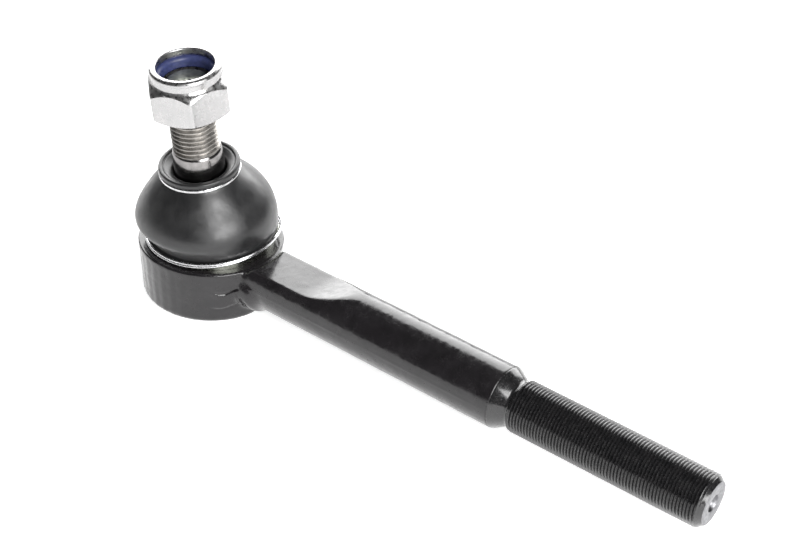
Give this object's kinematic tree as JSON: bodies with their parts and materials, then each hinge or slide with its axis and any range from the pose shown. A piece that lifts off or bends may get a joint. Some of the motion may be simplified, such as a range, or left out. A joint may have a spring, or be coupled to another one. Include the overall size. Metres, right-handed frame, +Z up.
{
  "type": "tie rod end",
  "caption": "Steering ball joint: a long threaded shank with a round cup, a rubber dust boot, a leaning tapered ball stud and a hexagon lock nut.",
  "frame": {"origin": "centre of the ball, where the housing axis crosses the shank's axis", "axes": "+X along the shank towards its threaded end, +Z up the housing axis towards the stud, +Y completes the frame; the stud leans 8.4 degrees at rest, towards -Y turned 6.5 degrees to -X"},
  "size_m": [0.2029, 0.0468, 0.0828],
  "materials": {
    "black_paint": "satin black paint over a forged surface",
    "cap_steel": "satin black paint on pressed steel",
    "seat_plastic": "moulded acetal",
    "spring_steel": "oiled spring steel",
    "stud_steel": "ground and rolled steel, oiled",
    "boot_rubber": "smooth black rubber with a soft sheen",
    "clip_wire": "bright spring wire",
    "plated_steel": "bright zinc plate",
    "nylon": "blue nylon"
  },
  "bodies": {
    "housing": {"housing": "black_paint", "end_cap": "cap_steel", "lower_seat": "seat_plastic", "upper_seat": "seat_plastic", "preload_spring": "spring_steel", "boot_clip_ring": "clip_wire"},
    "boot": {"dust_boot": "boot_rubber"},
    "boot_collar": {"boot_top_ring": "clip_wire"},
    "stud": {"ball_stud": "stud_steel"},
    "nut_carriage": {"nylon_insert": "nylon"},
    "nut": {"lock_nut": "plated_steel"}
  },
  "joints": [
    {"name": "lean_direction", "type": "hinge", "parent": "housing", "child": "boot", "pos_m": [0, 0, 0], "axis": [0, 0, 1], "continuous": true},
    {"name": "stud_lean", "type": "hinge", "parent": "boot", "child": "boot_collar", "pos_m": [0, 0, 0], "axis": [0.9936, -0.1132, 0], "range_deg": [-33.4, 16.6], "deforming": ["dust_boot"]},
    {"name": "stud_spin", "type": "hinge", "parent": "boot_collar", "child": "stud", "pos_m": [0, 0, 0], "axis": [-0.0165, -0.1451, 0.9893], "continuous": true},
    {"name": "nut_travel", "type": "slide", "parent": "stud", "child": "nut_carriage", "axis": [-0.0165, -0.1451, 0.9893], "range_m": [-0.013, 0.006]},
    {"name": "nut_turn", "type": "hinge", "parent": "nut_carriage", "child": "nut", "pos_m": [0, 0, 0], "axis": [-0.0165, -0.1451, 0.9893], "range_deg": [-3240, 1560]}
  ],
  "couplings": [
    {"joint": "nut_turn", "follows": "nut_travel", "rad_per_m": 4188.8}
  ]
}
